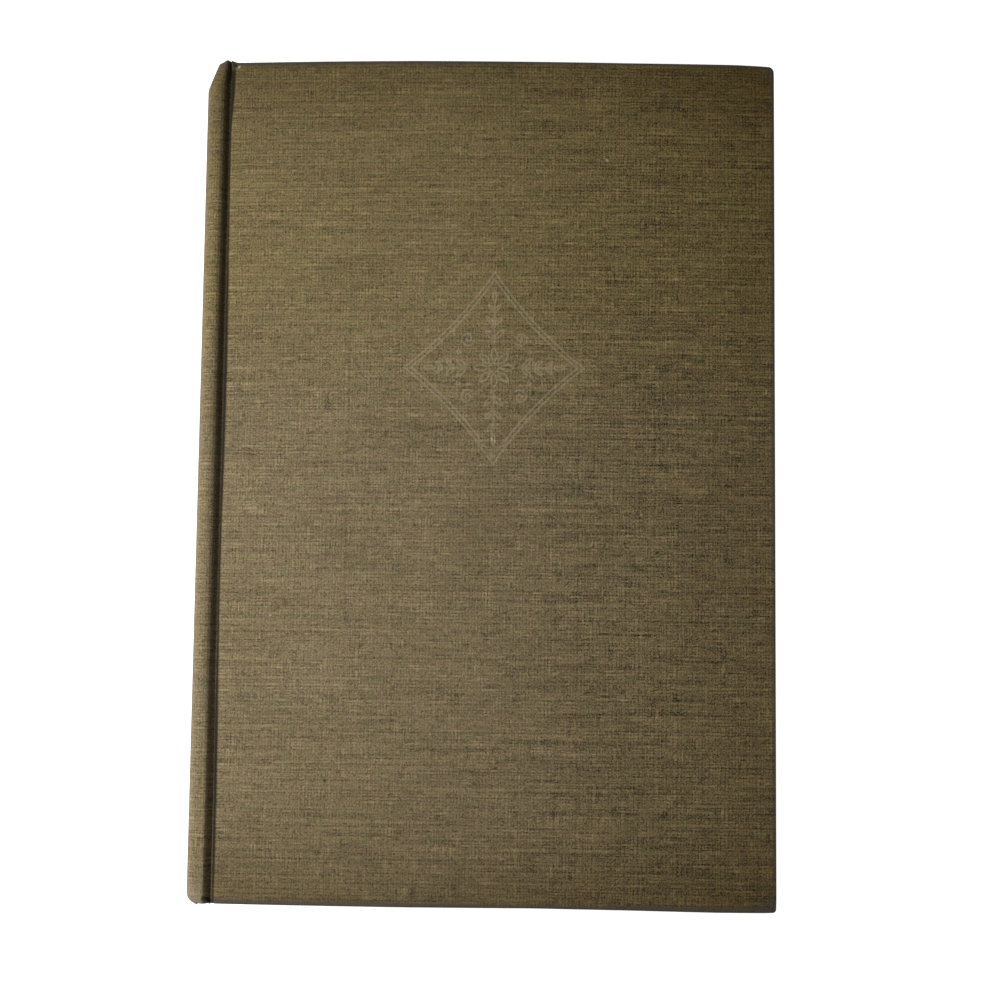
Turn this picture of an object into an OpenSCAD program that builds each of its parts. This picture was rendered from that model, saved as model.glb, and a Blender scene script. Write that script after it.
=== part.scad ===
// A cloth-bound hardback book, lying on its back cover with the spine towards -X and the head
// towards +Y. The text block is rounded and backed, the case has a hollow back and two grooved
// joints, and the origin is the middle of the footprint, on the surface that the book lies on.

/* [Covers] */
// Width of a cover from its spine edge to the fore-edge, cloth included
cover_w = 153.9; // [90:0.1:240]
// Height of the covers from tail to head, cloth included
cover_h = 235; // [140:0.5:340]
// Thickness of the board inside each cover
board_t = 2.6; // [1.5:0.1:4]
// Thickness of the cover cloth
cloth_t = 0.4; // [0.25:0.05:0.8]
// Width of the cloth turned in over the inside of the boards
turn_in_w = 15; // [8:0.5:25]
// Gap between two turn-ins along the mitre of a corner
mitre_gap = 0.3; // [0.1:0.1:1]
// How far the middle of the warped front board stands up from flat
board_warp = 2.4; // [0:0.1:6]
// Radius of the rubbed corners at the head of the covers
head_corner_r = 1.8; // [0.6:0.1:6]
// Radius of the corners at the tail of the covers
tail_corner_r = 1.1; // [0.6:0.1:6]
// Radius of the rubbed long edge of each cover at the fore-edge
edge_r = 0.5; // [0.1:0.1:1]

/* [Text block] */
// Thickness of the text block between the covers, free endpapers included
block_t = 22; // [12:0.5:60]
// How far the covers stand out past the block at head, tail and fore-edge
square_w = 3; // [1:0.5:6]
// Thickness of one leaf of endpaper
paper_t = 0.2; // [0.1:0.05:0.4]
// Number of sewn gatherings
gatherings = 14; // [6:1:32]
// Depth of the valley between the folds of two gatherings
fold_depth = 0.35; // [0.1:0.05:0.6]
// Depth of the hollow in the fore-edge
fore_hollow = 3.2; // [1:0.1:6]

/* [Spine and joints] */
// Radius of the rounded spine of the block
spine_r = 34; // [28:0.5:80]
// Height of the backed shoulder above the flat of the block
shoulder_h = 2.4; // [1.5:0.1:2.6]
// Distance along the block from the shoulder's foot to its crest
shoulder_run = 1.25; // [0.6:0.05:3]
// Distance from a board's spine edge to the foot of the shoulder
joint_w = 1.9; // [1.5:0.1:4]
// Radius of the cloth where it rolls over the shoulder into the groove
crest_r = 2.6; // [2.3:0.1:3.4]
// Depth of the joint groove below the face of the cover
groove_depth = 2.45; // [1.8:0.05:2.6]
// How far the crest of the spine lies below the face of the cover
crest_drop = 0.1; // [0:0.1:0.6]
// Thickness of the mull over the sewn spine
mull_t = 0.3; // [0.15:0.05:0.6]
// Thickness of the kraft lining over the mull
lining_t = 0.3; // [0.15:0.05:0.6]
// Clearance between the lining and the cloth turned in at the head and tail of the spine
hollow_gap = 0.3; // [0.1:0.05:1.5]
// Thickness of the card strip that stiffens the spine
strip_t = 1; // [0.4:0.1:1.6]
// Distance that the worn cap is pushed in at the head of the spine
cap_push = 2.2; // [0:0.1:2.2]
// Length of the spine that is pushed in with the cap, below the head of the block
cap_run = 4; // [1:0.5:8]
// Thickness of the card strip where it was crushed under the cap
crushed_t = 0.3; // [0.2:0.05:0.4]
// Radius of the rounded corner at the tail of the spine
cap_tail_r = 2.4; // [1:0.1:2.8]

/* [Head and tail bands] */
// Radius of the bead
bead_r = 0.7; // [0.4:0.05:1]
// Depth that the bead laps into its ribbon
bead_lap = 0.1; // [0.05:0.05:0.2]
// Height of the ribbon glued to the block's spine
band_flap_h = 8; // [4:0.5:15]
// Distance between the ribbon and the mull
band_gap = 1; // [0.2:0.1:4]

/* [Hidden] */

cloth_color = "#7a6c4b";
board_color = "#9a8f7c";
paper_color = "#e9dfc6";
page_color = "#e4d8bb";

// Levels above the face of the block: pastedown, turn-in, board and cloth lie on each other
turn_z = paper_t;
board_z = turn_z + cloth_t;
cloth_z = board_z + board_t;
cover_t = cloth_z + cloth_t;
mid_z = cover_t + block_t / 2;

// The cover is laid out from its spine edge at x = 0, with z measured from the middle of the block
face_z = block_t / 2;
block_fore_x = cover_w - square_w;
block_h = cover_h - 2 * square_w;
half_h = cover_h / 2;
band_y = block_h / 2;

// The backed spine: the shoulder's crest sets the centre of the rounded spine
foot_x = -joint_w;
crest_x = foot_x - shoulder_run;
crest_z = face_z + shoulder_h;
round_x = crest_x + sqrt(spine_r * spine_r - crest_z * crest_z);
block_angle = asin(crest_z / spine_r);
mull_r = spine_r + mull_t;
lining_r = mull_r + lining_t;
turn_r = lining_r + hollow_gap;
strip_r = turn_r + cloth_t;
skin_r = strip_r + strip_t;
case_r = skin_r + cloth_t;
spine_reach = case_r - round_x;

// Level with the head of the block, the pushed cap stops short of the lining: the crushed strip
// gives way, and half of the hollow behind it
cap_give = strip_t - crushed_t;
block_push = min(cap_push * cap_run / (cap_run + square_w), cap_give + hollow_gap / 2);

// The cloth rolls off the spine over the shoulder, then round the bottom of the groove
roll_z = face_z + cover_t - crest_drop - crest_r;
roll_reach = case_r - crest_r;
roll_angle = asin(roll_z / roll_reach);
roll_x = round_x - roll_reach * cos(roll_angle);

// The bottom of the groove touches the roll on one side and the board's edge, at x = 0, on the other
groove_low = face_z + cover_t - groove_depth;
low_rise = groove_low - roll_z;
groove_sum = crest_r - roll_x - low_rise;
groove_r = groove_sum - sqrt(groove_sum * groove_sum - roll_x * roll_x - low_rise * low_rise + crest_r * crest_r);
groove_z = groove_low + groove_r;
groove_angle = atan2(groove_z - roll_z, -groove_r - roll_x);

// The whole book is centred over the origin
edge_x = (spine_reach - cover_w) / 2;

warp_steps = 24;
warp_r = board_warp > 0 ? (cover_w * cover_w / 4 + board_warp * board_warp) / (2 * board_warp) : 0;
curve_steps = 16;
shoulder_steps = 4;
fold_steps = 4;
strip_inset_angle = 0.5;
bead_inset_angle = 4;
station_gap = 0.01;
overlap = 1;
$fn = 180;

// Points of an arc about [x, z], from angle a0 to a1
function arc(x, z, r, a0, a1, steps) =
    [for (i = [0:steps]) let (a = a0 + (a1 - a0) * i / steps) [x + r * cos(a), z + r * sin(a)]];

// Height of the warp at x: a shallow arch from spine edge to fore-edge, in flat facets
function arch(x) =
    sqrt(max(0, warp_r * warp_r - pow(x - cover_w / 2, 2))) - (warp_r - board_warp);
function warp_at(x, warp) =
    warp == 0 || x <= 0 || x >= cover_w ? 0 :
    let (step = cover_w / warp_steps, i = floor(x / step), f = x / step - i)
    arch(i * step) * (1 - f) + arch((i + 1) * step) * f;
function warp_stations(x0, x1) = concat(
    [x0],
    [for (i = [0:warp_steps]) let (x = i * cover_w / warp_steps)
        if (x > x0 + station_gap && x < x1 - station_gap) x],
    [x1]);

// A layer of a cover in section, from x0 to x1 and from z0 to z1 above the block, following the warp
function layer_points(x0, x1, z0, z1, warp) = let (xs = warp_stations(x0, x1), n = len(xs)) concat(
    [for (x = xs) [x, face_z + z0 + warp_at(x, warp)]],
    [for (i = [n - 1:-1:0]) [xs[i], face_z + z1 + warp_at(xs[i], warp)]]);

// Stands a section in X and Z up as a length along Y, from y0 to y1
module run(y0, y1) {
    translate([0, y1, 0]) rotate([90, 0, 0]) linear_extrude(height = y1 - y0) children();
}

module layer(x0, x1, z0, z1, half_y, warp) {
    run(-half_y, half_y) polygon(layer_points(x0, x1, z0, z1, warp));
}

// From the layout above to the book's own frame
module place() {
    translate([edge_x, 0, mid_z]) children();
}

module place_back() {
    place() mirror([0, 0, 1]) children();
}

// Plan of a cover: square at the joint, with the rubbed corners at the fore-edge
module cover_plan(inset) {
    top = half_h - inset;
    fore = cover_w - inset;
    head_r = head_corner_r - inset;
    tail_r = tail_corner_r - inset;
    translate([0, 0, -cover_t]) linear_extrude(height = face_z + 4 * cover_t + board_warp) polygon(concat(
        [[inset, -top]],
        arc(fore - tail_r, -top + tail_r, tail_r, -90, 0, curve_steps),
        arc(fore - head_r, top - head_r, head_r, 0, 90, curve_steps),
        [[inset, top]]));
}

// Section of the board with its cloth, rounded along the fore-edge
module cover_section(warp) {
    low = face_z + turn_z;
    high = face_z + cover_t;
    xs = warp_stations(0, cover_w - edge_r);
    n = len(xs);
    polygon(concat(
        [for (x = xs) [x, low + warp_at(x, warp)]],
        arc(cover_w - edge_r, low + edge_r, edge_r, -90, 0, curve_steps / 2),
        arc(cover_w - edge_r, high - edge_r, edge_r, 0, 90, curve_steps / 2),
        [for (i = [n - 1:-1:0]) [xs[i], high + warp_at(xs[i], warp)]]));
}

// The cloth round three edges of a board: face, edges and mitred turn-ins
module cover_cloth(warp) {
    window_x = cover_w - turn_in_w;
    window_y = half_h - turn_in_w;
    mitre_length = turn_in_w * sqrt(2) - head_corner_r - cloth_t;
    color(cloth_color) intersection() {
        difference() {
            run(-half_h, half_h) cover_section(warp);
            layer(cloth_t, cover_w - cloth_t, board_z, cloth_z, half_h - cloth_t, warp);
            layer(cloth_t, window_x, turn_z - overlap, board_z, window_y, warp);
            layer(-overlap, cloth_t, -overlap, groove_z - face_z, half_h + overlap, warp);
            for (side = [-1, 1])
                translate([window_x, side * window_y, face_z]) rotate([0, 0, side * 45])
                    translate([-overlap, -mitre_gap / 2, 0])
                        cube([overlap + mitre_length, mitre_gap, board_z + board_t / 2]);
        }
        cover_plan(0);
    }
}

module cover_board(warp) {
    color(board_color) intersection() {
        layer(cloth_t, cover_w - cloth_t, board_z, cloth_z, half_h - cloth_t, warp);
        cover_plan(cloth_t);
    }
}

// The pasted half of an endpaper: flat over the turn-ins, sunk onto the board inside them
module cover_pastedown(warp) {
    window_x = cover_w - turn_in_w;
    window_y = half_h - turn_in_w;
    color(paper_color) difference() {
        union() {
            layer(foot_x + paper_t, block_fore_x, 0, paper_t, band_y, warp);
            layer(cloth_t, window_x, 0, board_z, window_y, warp);
        }
        layer(cloth_t + paper_t, window_x - paper_t, -overlap, board_z - paper_t, window_y - paper_t, warp);
    }
}

// One surface of the bent cloth of a joint, at a depth below its face, from the spine to the board
function joint_path(depth) = concat(
    arc(roll_x, roll_z, crest_r - depth, 180 - roll_angle, groove_angle, curve_steps),
    arc(-groove_r, groove_z, groove_r + depth, 180 + groove_angle, 360, curve_steps));

module joint_layer(depth0, depth1) {
    inner = joint_path(depth1);
    last = len(inner) - 1;
    polygon(concat(joint_path(depth0), [for (i = [last:-1:0]) inner[i]]));
}

// The cloth of a joint, doubled at head and tail where the turn-ins run on through it as far as
// the edge of the board
module joint_cloth() {
    middle = half_h - turn_in_w;
    color(cloth_color) {
        run(-half_h, half_h) joint_layer(0, cloth_t);
        for (side = [0, 1]) mirror([0, side, 0]) run(middle, half_h) intersection() {
            joint_layer(cloth_t, 2 * cloth_t);
            translate([-spine_reach, 0]) square([spine_reach + cloth_t, face_z + cover_t]);
        }
    }
}

// A wedge of the round spine in section, as thick as r
module spine_wedge(r, angle) {
    reach = r / cos(angle) + overlap;
    intersection() {
        translate([round_x, 0]) circle(r);
        polygon([[round_x, 0],
                 [round_x - reach * cos(angle), reach * sin(angle)],
                 [round_x - reach, 0],
                 [round_x - reach * cos(angle), -reach * sin(angle)]]);
    }
}

// A layer of constant thickness glued round the block's spine
module spine_wrap(r0, r1, angle) {
    difference() {
        spine_wedge(r1, angle);
        translate([round_x, 0]) circle(r0);
    }
}

// Distance that a surface is pushed in at a height y past the block, less what the strip gives
function push_at(y, give) =
    max(0, block_push + (cap_push - block_push) * (y - band_y) / square_w - give);

// The tail corner of the spine's case in plan: rounded, or square where the radius is 0
function tail_corner(left, half_y, r) =
    r > 0 ? arc(left + r, r - half_y, r, 270, 180, curve_steps) : [[left, -half_y]];

// All that lies inside one surface of the spine's case, at a depth below its skin: the head leans
// in, and the tail has a corner of radius tail_r
module spine_form(r, angle, depth, half_y, tail_r, give) {
    left = depth - spine_reach;
    intersection() {
        run(-half_y, half_y) spine_wedge(r, angle);
        translate([0, 0, -2 * face_z]) linear_extrude(height = 4 * face_z) polygon(concat(
            [[round_x, -half_y]],
            tail_corner(left, half_y, tail_r),
            [[left, band_y - cap_run],
             [left + push_at(band_y, give), band_y],
             [left + push_at(half_y, give), half_y],
             [round_x, half_y]]));
    }
}

module text_block() {
    leaf_z = face_z - paper_t;
    pitch = 2 * block_angle / gatherings;
    fore_r = (leaf_z * leaf_z + fore_hollow * fore_hollow) / (2 * fore_hollow);
    fore_angle = asin(leaf_z / fore_r);
    // The shoulder sweeps up from its foot to its crest
    shoulder = [for (i = [0:shoulder_steps - 1]) let (f = i / shoulder_steps)
        [foot_x - shoulder_run * f, leaf_z + (crest_z - leaf_z) * (1 - cos(90 * f))]];
    // Each gathering's fold stands out between two valleys
    folds = [for (g = [0:gatherings - 1], s = [0:fold_steps - 1])
        let (f = s / fold_steps, a = 180 - block_angle + pitch * (g + f),
             r = spine_r - fold_depth * pow(2 * f - 1, 2) * (g == 0 && s == 0 ? 0 : 1))
        [round_x + r * cos(a), r * sin(a)]];
    back_shoulder = [for (i = [shoulder_steps:-1:0]) let (f = i / shoulder_steps)
        [foot_x - shoulder_run * f, -leaf_z - (crest_z - leaf_z) * (1 - cos(90 * f))]];
    hollow = arc(block_fore_x + fore_r * cos(fore_angle), 0, fore_r,
                 180 + fore_angle, 180 - fore_angle, curve_steps);
    color(page_color) place() run(-band_y, band_y) polygon(concat(shoulder, folds, back_shoulder, hollow));
}

module flyleaf() {
    color(paper_color) run(-band_y, band_y)
        polygon([[foot_x, face_z - paper_t], [block_fore_x, face_z - paper_t],
                 [block_fore_x, face_z], [foot_x, face_z]]);
}

module front_flyleaf() {
    place() flyleaf();
}

module back_flyleaf() {
    place_back() flyleaf();
}

// A bead on the end of the block's spine, in one with its ribbon, which is glued down behind it
module band() {
    bead_angle = block_angle - bead_inset_angle;
    color("#c9b68a") place()
        translate([round_x, band_y + bead_r, 0]) rotate([90, 0, 0]) rotate([0, 0, 180 - bead_angle])
            rotate_extrude(angle = 2 * bead_angle) {
                translate([spine_r - bead_r + bead_lap, 0]) circle(bead_r, $fn = 32);
                translate([spine_r, 0]) square([mull_t, band_flap_h + bead_r]);
            }
}

module head_band() {
    band();
}

module tail_band() {
    mirror([0, 1, 0]) band();
}

module spine_mull() {
    reach = band_y - band_flap_h - band_gap;
    color("#d8cdb0") place() run(-reach, reach) spine_wrap(spine_r, mull_r, block_angle);
}

module spine_lining() {
    color("#a98a5c") place() run(-band_y, band_y) spine_wrap(mull_r, lining_r, block_angle);
}

// The card strip, between the cloth outside and the cloth turned in behind it
module spine_strip() {
    strip_angle = roll_angle - strip_inset_angle;
    color(board_color) place() difference() {
        spine_form(skin_r, strip_angle, cloth_t, half_h - cloth_t, cap_tail_r - cloth_t, 0);
        spine_form(strip_r, strip_angle + overlap, cloth_t + strip_t, half_h + overlap, 0, cap_give);
    }
}

// The cloth over the spine, folded over the ends of the strip and turned in behind it
module spine_cloth() {
    wide_angle = roll_angle + overlap;
    middle = half_h - turn_in_w;
    color(cloth_color) place() difference() {
        union() {
            difference() {
                spine_form(case_r, roll_angle, 0, half_h, cap_tail_r, 0);
                spine_form(skin_r, wide_angle, cloth_t, half_h - cloth_t, cap_tail_r - cloth_t, 0);
            }
            difference() {
                spine_form(strip_r, roll_angle, cloth_t + strip_t, half_h - cloth_t / 2, 0, cap_give);
                translate([-2 * spine_reach, -middle, -face_z * 2])
                    cube([round_x + 2 * spine_reach + overlap, 2 * middle, face_z * 4]);
            }
        }
        spine_form(turn_r, wide_angle, 2 * cloth_t + strip_t, half_h + overlap, 0, cap_give);
    }
}

module front_joint() {
    place() joint_cloth();
}

module back_joint() {
    place_back() joint_cloth();
}

module front_board() {
    place() cover_board(board_warp);
}

module front_cloth() {
    place() cover_cloth(board_warp);
}

module front_pastedown() {
    place() cover_pastedown(board_warp);
}

module back_board() {
    place_back() cover_board(0);
}

module back_cloth() {
    place_back() cover_cloth(0);
}

module back_pastedown() {
    place_back() cover_pastedown(0);
}

text_block();
front_flyleaf();
back_flyleaf();
head_band();
tail_band();
spine_mull();
spine_lining();
spine_strip();
spine_cloth();
front_joint();
back_joint();
front_board();
front_cloth();
front_pastedown();
back_board();
back_cloth();
back_pastedown();
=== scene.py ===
"""The looks of a cloth-bound hardback book that lies on its back cover, spine to the left, head away."""

import math
import random

import bmesh
import bpy
import numpy as np
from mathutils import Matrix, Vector
from mathutils.kdtree import KDTree


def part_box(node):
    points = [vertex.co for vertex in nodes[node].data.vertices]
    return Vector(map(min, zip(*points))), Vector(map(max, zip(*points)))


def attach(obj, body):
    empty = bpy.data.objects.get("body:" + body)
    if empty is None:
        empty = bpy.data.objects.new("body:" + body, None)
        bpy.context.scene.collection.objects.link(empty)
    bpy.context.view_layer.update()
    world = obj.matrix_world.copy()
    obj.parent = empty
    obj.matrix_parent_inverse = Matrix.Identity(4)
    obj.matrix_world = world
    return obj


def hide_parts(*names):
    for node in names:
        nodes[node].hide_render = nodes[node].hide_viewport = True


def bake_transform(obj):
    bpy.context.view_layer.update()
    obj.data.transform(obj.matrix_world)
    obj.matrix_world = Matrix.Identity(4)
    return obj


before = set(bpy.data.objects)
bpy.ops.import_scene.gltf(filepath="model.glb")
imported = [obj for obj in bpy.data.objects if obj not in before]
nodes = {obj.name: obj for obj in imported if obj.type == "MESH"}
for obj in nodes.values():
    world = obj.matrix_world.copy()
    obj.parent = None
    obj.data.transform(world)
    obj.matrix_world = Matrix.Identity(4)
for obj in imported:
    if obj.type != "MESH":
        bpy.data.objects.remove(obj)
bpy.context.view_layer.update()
mm = 0.001


# The text block. Folded and sewn gatherings of paper, rounded and backed, so that the spine is a
# shallow arc with a shoulder along each side and the fore-edge is hollow. The leaves were trimmed
# together, and their cut edges have gone the colour of weak tea.
block_low, block_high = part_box("text_block")
leaf_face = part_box("front_flyleaf")[0]
middle_z = (block_low.z + block_high.z) / 2
half_block = block_high.y
leaf_top = leaf_face.z - middle_z
shoulder_foot_x = leaf_face.x
shoulder_run = 1.25 * mm
crest_x = shoulder_foot_x - shoulder_run
crest_z = block_high.z - middle_z
block_spine_r = 34 * mm
round_x = crest_x + math.sqrt(block_spine_r ** 2 - crest_z ** 2)
fore_x = block_high.x
fore_hollow = 3.2 * mm
fore_r = (leaf_top ** 2 + fore_hollow ** 2) / (2 * fore_hollow)

gatherings = 14
leaves_each = 14
gathering_step = 0.16 * mm
leaf_step = 0.05 * mm
leaf_groove = 0.07 * mm
gathering_groove = 0.16 * mm
leaf_wave = 0.12 * mm
leaf_edge = 0.16
rounded_share = 0.06
columns_rounded = 8
columns_across = 14
columns_along = 15

page_dark = (0.42, 0.31, 0.17, 1)
page_light = (0.68, 0.56, 0.38, 1)
page_stain = (0.36, 0.25, 0.13, 1)
page_foxing = (0.28, 0.16, 0.07, 1)


class Finish:
    """The nodes of one material, wired together as they are added."""

    def __init__(self, name):
        self.material = bpy.data.materials.new(name)
        self.material.use_nodes = True
        self.tree = self.material.node_tree
        self.shader = self.tree.nodes["Principled BSDF"]

    def add(self, kind, inputs=None, **settings):
        made = self.tree.nodes.new(kind)
        for name, value in settings.items():
            setattr(made, name, value)
        for key, value in (inputs or {}).items():
            self.put(made.inputs[key], value)
        return made

    def put(self, socket, value):
        if isinstance(value, bpy.types.NodeSocket):
            self.tree.links.new(value, socket)
        else:
            socket.default_value = value

    def place(self, scale=(1, 1, 1)):
        """The piece's own place in metres, stretched so that a pattern gets finer along an axis."""
        coordinates = self.add("ShaderNodeTexCoord").outputs["Object"]
        return self.stretch(coordinates, scale)

    def cloth_place(self):
        """The place on the flat cloth in metres, before it was folded round the boards."""
        return self.add("ShaderNodeUVMap", uv_map="flat").outputs["UV"]

    def stretch(self, vector, scale):
        return self.add("ShaderNodeMapping", {"Vector": vector, "Scale": scale}).outputs[0]

    def noise(self, vector, size, detail=2.0, roughness=0.5):
        """Soft noise from 0 to 1, whose lumps are about size metres across."""
        values = {"Vector": vector, "Scale": 1 / size, "Detail": detail, "Roughness": roughness}
        return self.add("ShaderNodeTexNoise", values).outputs["Fac"]

    def math(self, operation, a, b=0.0):
        return self.add("ShaderNodeMath", {0: a, 1: b}, operation=operation).outputs[0]

    def between(self, value, low, high, to_low=0.0, to_high=1.0):
        """value taken from the range low..high to the range to_low..to_high, and held at its ends."""
        values = {"Value": value, "From Min": low, "From Max": high, "To Min": to_low, "To Max": to_high}
        return self.add("ShaderNodeMapRange", values).outputs[0]

    def blend(self, share, a, b, kind="MIX"):
        """Colour a with a share of colour b laid over it."""
        mix = self.add("ShaderNodeMix", data_type="RGBA", blend_type=kind)
        for index, value in ((0, share), (6, a), (7, b)):
            self.put(mix.inputs[index], value)
        return mix.outputs[2]

    def painted(self, name):
        """A value that the mesh carries at each of its points."""
        return self.add("ShaderNodeAttribute", attribute_name=name).outputs["Fac"]

    def colour_laid_over(self, name, share, tone, colour):
        """The tone with a share of a colour over it, as far as the mesh is painted with name."""
        return self.blend(self.math("MULTIPLY", self.painted(name), share), tone, colour)

    def bump(self, height, depth):
        values = {"Height": height, "Distance": depth, "Strength": 1.0}
        return self.add("ShaderNodeBump", values).outputs[0]

    def coat(self, colour, roughness, normal=None, specular=0.3):
        self.put(self.shader.inputs["Base Color"], colour)
        self.put(self.shader.inputs["Roughness"], roughness)
        self.put(self.shader.inputs["Specular IOR Level"], specular)
        if normal is not None:
            self.put(self.shader.inputs["Normal"], normal)
        return self.material


def make_piece(name, points, faces, material, flat=None):
    """A mesh object at the origin. flat gives each point's place on the flat sheet, in metres."""
    mesh = bpy.data.meshes.new(name)
    mesh.from_pydata([tuple(p) for p in points], [], [tuple(f) for f in faces])
    if flat is not None:
        layer = mesh.uv_layers.new(name="flat")
        corners = np.empty(len(mesh.loops), int)
        mesh.loops.foreach_get("vertex_index", corners)
        layer.data.foreach_set("uv", np.asarray(flat, float)[corners].ravel())
    mesh.polygons.foreach_set("use_smooth", [True] * len(mesh.polygons))
    mesh.materials.append(material)
    mesh.validate()
    piece = bpy.data.objects.new(name, mesh)
    bpy.context.scene.collection.objects.link(piece)
    return piece


def grid_faces(index):
    """The quads of a grid of point numbers, index[row][column], turned to the side of row x column."""
    quads = np.stack([index[:-1, :-1], index[1:, :-1], index[1:, 1:], index[:-1, 1:]], -1)
    return quads.reshape(-1, 4)


def leaf_lift(x):
    """How far up the fanned leaves have gone at x: 0 in the flat block, 1 at the shoulder's crest."""
    share = np.clip((shoulder_foot_x - x) / shoulder_run, 0, 1)
    return 1 - np.cos(share * math.pi / 2)


def block_rows():
    """Height and trim of each row of points up the block: two to a leaf, one in each groove."""
    chance = random.Random(7)
    count = gatherings * leaves_each
    pitch = 2 * leaf_top / count
    rows = []
    for leaf in range(count):
        if leaf % leaves_each == 0:
            step = chance.uniform(0, gathering_step)
        inset = step + chance.uniform(0, leaf_step)
        low = -leaf_top + leaf * pitch
        if leaf:
            depth = gathering_groove if leaf % leaves_each == 0 else leaf_groove
            rows.append((low, inset + depth))
        rows += [(low + leaf_edge * pitch, inset), (low + (1 - leaf_edge) * pitch, inset)]
    rows[0] = (-leaf_top, rows[0][1])
    rows[-1] = (leaf_top, rows[-1][1])
    return rows


def build_text_block(material):
    across = np.concatenate([np.linspace(0, rounded_share, columns_rounded)[:-1],
                             np.linspace(rounded_share, 1, columns_across)])
    along = np.linspace(-1, 1, columns_along)
    side, fore = len(across), len(along)
    points, flat = [], []
    rows = block_rows()
    for height, inset in rows:
        spread = height / leaf_top * crest_z
        back_x = round_x - math.sqrt(block_spine_r ** 2 - spread ** 2)
        hollow = math.sqrt(fore_r ** 2 - height ** 2) - math.sqrt(fore_r ** 2 - leaf_top ** 2)
        front_x = fore_x - hollow - inset
        xs = back_x + (front_x - back_x) * across
        ys = (half_block - inset) * along
        ring = [(x, -half_block + inset) for x in xs]
        ring += [(front_x, y) for y in ys[1:]]
        ring += [(x, half_block - inset) for x in xs[-2::-1]]
        ring += [(back_x, y) for y in ys[-2:0:-1]]
        wave = leaf_wave * (1 - (height / leaf_top) ** 2)
        for x, y in ring:
            rise = 1 + (crest_z / leaf_top - 1) * float(leaf_lift(x))
            sway = wave * math.sin(34 * y + 3 * height / leaf_top) * math.sin(21 * x + 1)
            points.append((x, y, middle_z + height * rise + sway))
            flat.append((x + y, height * rise))
    ring_size = 2 * (side - 1) + 2 * (fore - 1)
    walls = np.arange(len(rows) * ring_size).reshape(len(rows), ring_size)
    walls = np.hstack([walls, walls[:, :1]])
    faces = [tuple(reversed(f)) for f in grid_faces(walls)]
    for row, turned in ((0, True), (len(rows) - 1, False)):
        start = row * ring_size
        cap = np.empty((side, fore), int)
        cap[:, 0] = start + np.arange(side)
        cap[-1, :] = start + side - 1 + np.arange(fore)
        cap[:, -1] = start + side + fore - 2 + np.arange(side)[::-1]
        cap[0, 1:-1] = start + ring_size - 1 - np.arange(fore - 2)
        for i in range(1, side - 1):
            for j in range(1, fore - 1):
                share = j / (fore - 1)
                near, far = points[cap[i, 0]], points[cap[i, -1]]
                cap[i, j] = len(points)
                points.append(tuple(a + (b - a) * share for a, b in zip(near, far)))
                flat.append((near[0], points[-1][1]))
        quads = grid_faces(cap)
        faces += [tuple(reversed(q)) if turned else tuple(q) for q in quads]
    return make_piece("leaves", points, faces, material, flat)


def page_finish():
    paper = Finish("toned_page_edges")
    flat = paper.cloth_place()
    lines = paper.noise(paper.stretch(flat, (6, 900, 1)), 0.1, 2.0, 0.6)
    stains = paper.noise(paper.place(), 18 * mm, 4.0, 0.6)
    foxing = paper.between(paper.noise(paper.place(), 3 * mm, 3.0), 0.68, 0.76, 0.0, 0.5)
    tone = paper.blend(paper.between(lines, 0.3, 0.7), page_dark, page_light)
    tone = paper.blend(paper.between(stains, 0.35, 0.75, 0.0, 0.55), tone, page_stain)
    tone = paper.blend(foxing, tone, page_foxing)
    return paper.coat(tone, 0.9, paper.bump(lines, 0.04 * mm), specular=0.2)


leaves = build_text_block(page_finish())
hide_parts("text_block")
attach(leaves, "book_block")


# The free endpapers. The loose half of the folded sheet at each end of the block: heavier paper
# than the pages, pale, toned round its margins, tipped to the block along the joint.
leaf_inset = 0.15 * mm
paper_wave = 0.16 * mm
paper_ease = 0.01 * mm
endpaper_columns = 60
endpaper_rows = 90
margin_w = 16 * mm
margin_past = 12 * mm

endpaper_pale = (0.78, 0.70, 0.54, 1)
endpaper_cloudy = (0.70, 0.60, 0.43, 1)
endpaper_fibre = (0.52, 0.42, 0.28, 1)
endpaper_margin = (0.50, 0.36, 0.20, 1)
endpaper_spot = (0.45, 0.28, 0.13, 1)


def endpaper_finish():
    paper = Finish("old_endpaper")
    place = paper.place()
    cloudy = paper.noise(place, 30 * mm, 4.0, 0.6)
    fibres = paper.noise(paper.place((1, 2.5, 1)), 0.9 * mm, 3.0, 0.7)
    spots = paper.between(paper.noise(place, 2.4 * mm, 2.0), 0.7, 0.76, 0.0, 0.55)
    tone = paper.blend(paper.between(cloudy, 0.3, 0.7), endpaper_pale, endpaper_cloudy)
    tone = paper.blend(paper.between(fibres, 0.35, 0.65, 0.0, 0.12), tone, endpaper_fibre)
    tone = paper.colour_laid_over("margin", 0.6, tone, endpaper_margin)
    tone = paper.blend(spots, tone, endpaper_spot)
    return paper.coat(tone, 0.85, paper.bump(fibres, 0.02 * mm), specular=0.25)


def paint(piece, name, values):
    """Gives each point of the mesh a value that its finish reads."""
    layer = piece.data.attributes.new(name, "FLOAT", "POINT")
    layer.data.foreach_set("value", np.asarray(values, np.float32))


def mesh_points(piece):
    found = np.empty(len(piece.data.vertices) * 3)
    piece.data.vertices.foreach_get("co", found)
    return found.reshape(-1, 3)


def thicken(piece, thickness):
    """Gives an open sheet its thickness, behind its face, and closes its rim."""
    wall = piece.modifiers.new("thickness", "SOLIDIFY")
    wall.thickness = thickness
    wall.offset = -1.0
    wall.use_even_offset = False
    wall.use_quality_normals = True
    graph = bpy.context.evaluated_depsgraph_get()
    solid = bpy.data.meshes.new_from_object(piece.evaluated_get(graph))
    piece.modifiers.clear()
    old = piece.data
    piece.data = solid
    bpy.data.meshes.remove(old)


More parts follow.
